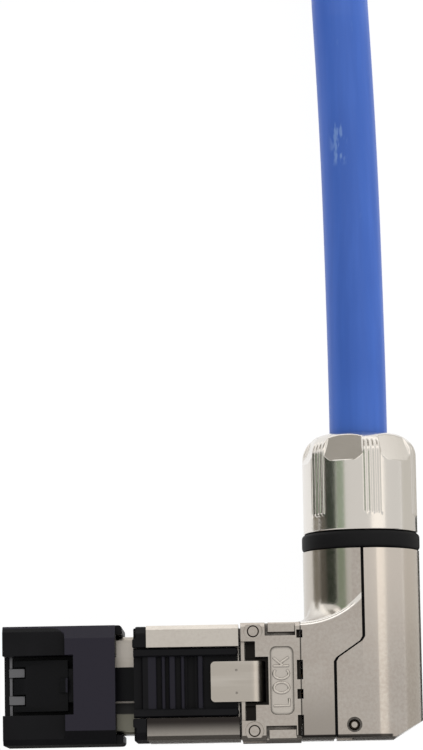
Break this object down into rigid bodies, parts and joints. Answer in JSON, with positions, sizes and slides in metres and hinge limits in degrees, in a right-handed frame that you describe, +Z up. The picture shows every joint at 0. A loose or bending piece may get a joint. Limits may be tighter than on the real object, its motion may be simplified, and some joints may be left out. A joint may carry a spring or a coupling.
{
  "type": "field termination ethernet plug",
  "caption": "Right-angle shielded eight-way network plug with die-cast elbow, latch lever, lock slide, gland nut, nose cap and a coiled lead to a straight plug.",
  "frame": {"origin": "on the resting surface, below the crossing of the plug axis and the neck axis", "axes": "+X from the nose towards the elbow's back, +Y along the neck towards the cable, +Z up through the latch side"},
  "size_m": [0.0893, 0.1824, 0.0237],
  "materials": {
    "nickel": "satin nickel on a die casting",
    "plated_sheet": "bright nickel on sheet",
    "black_plastic": "fine spark texture",
    "black_rubber": "matt",
    "clear_plastic": "clear moulding",
    "gold": "gold flash",
    "board": "solder mask",
    "white_plastic": "moulded",
    "core_sleeves": "smooth",
    "braid": "tinned braid",
    "cable_blue": "smooth sheath"
  },
  "bodies": {
    "root": {"front_body": "nickel", "lock_cover": "nickel", "angled_housing": "nickel", "rear_cover": "nickel", "cover_pin_left": "nickel", "cover_pin_right": "nickel", "hinge_pin": "nickel", "plug_shield": "plated_sheet", "far_plug_shell": "plated_sheet", "shield_spring": "plated_sheet", "front_collar": "black_plastic", "clamp_cage": "black_plastic", "contact_carrier": "black_plastic", "neck_seal": "black_rubber", "seal_insert": "black_rubber", "far_plug_boot": "black_rubber", "far_plug_insert": "clear_plastic", "contact_blades": "gold", "idc_terminals": "gold", "far_plug_contacts": "gold", "circuit_board": "board", "idc_block": "white_plastic", "wire_manager": "white_plastic", "wire_cores": "core_sleeves", "cable_shield": "braid", "cable_run": "cable_blue", "cable_coil": "cable_blue"},
    "dust_cap": {"dust_cap": "black_plastic"},
    "latch_lever": {"latch_lever": "black_plastic"},
    "lock_clip": {"lock_clip": "plated_sheet"},
    "thrust_ring": {"thrust_ring": "plated_sheet"},
    "union_nut": {"union_nut": "nickel"}
  },
  "joints": [
    {"name": "cap_pull", "type": "slide", "parent": "root", "child": "dust_cap", "axis": [-1, 0, 0], "range_m": [0, 0.0145]},
    {"name": "lever_press", "type": "hinge", "parent": "root", "child": "latch_lever", "pos_m": [-0.04206, 0, 0.0094], "axis": [0, 1, 0], "range_deg": [0, 3.4], "stiffness_Nm_per_rad": 0.8},
    {"name": "lock_slide", "type": "slide", "parent": "root", "child": "lock_clip", "axis": [-1, 0, 0], "range_m": [0, 0.0008]},
    {"name": "nut_travel", "type": "slide", "parent": "root", "child": "thrust_ring", "axis": [0, 1, 0], "range_m": [0, 0.0031]},
    {"name": "nut_turn", "type": "hinge", "parent": "thrust_ring", "child": "union_nut", "pos_m": [0, 0.024, 0.00725], "axis": [0, 1, 0], "range_deg": [0, 720]}
  ],
  "couplings": [
    {"joint": "nut_travel", "follows": "nut_turn", "m_per_rad": 0.00023873}
  ]
}
